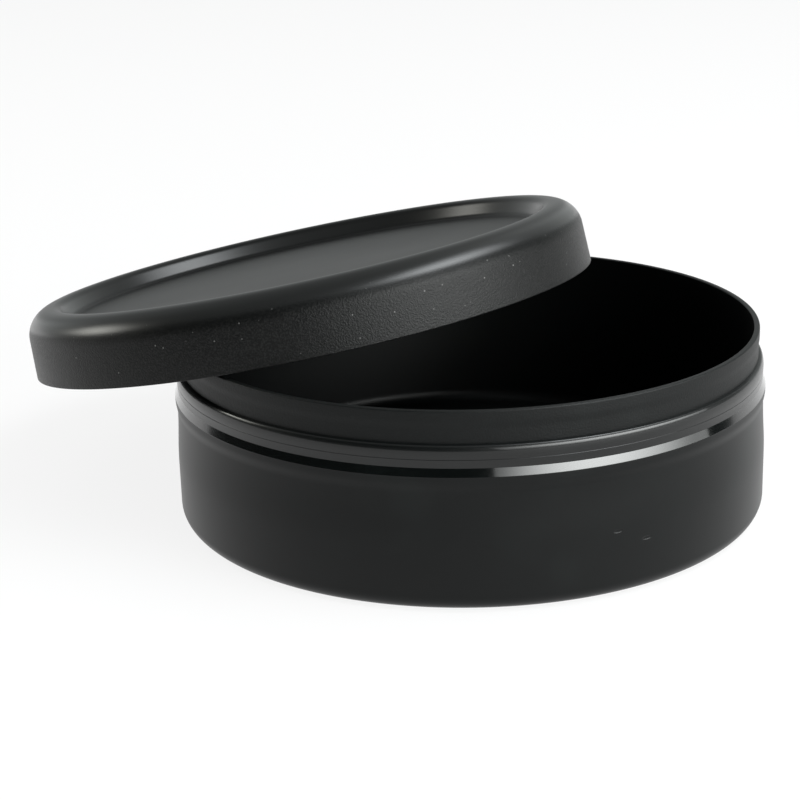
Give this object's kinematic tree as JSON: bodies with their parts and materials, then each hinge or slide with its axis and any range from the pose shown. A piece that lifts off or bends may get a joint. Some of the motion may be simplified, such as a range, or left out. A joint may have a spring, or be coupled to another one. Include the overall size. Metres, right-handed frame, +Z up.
{
  "type": "snus tin",
  "caption": "Round black plastic snus tin, opened: a shallow container with a beaded neck, and its press-on lid with a recessed top, leaning on the rim",
  "frame": {"origin": "centre of the container's flat underside, which the tin stands on", "axes": "+Z up along the container's axis; the open lid leans on the rim, lower towards -X; the XZ plane is the part's mirror plane"},
  "size_m": [0.0939, 0.0708, 0.0345],
  "materials": {
    "container_plastic": "satin black moulding with a polished lip",
    "lid_plastic": "fine spark-eroded black moulding"
  },
  "bodies": {
    "container": {"container": "container_plastic"},
    "lid": {"lid": "lid_plastic"}
  },
  "joints": [
    {"name": "lid_lift", "type": "slide", "parent": "container", "child": "lid", "axis": [0, 0, 1], "range_m": [0, 0.05]}
  ]
}
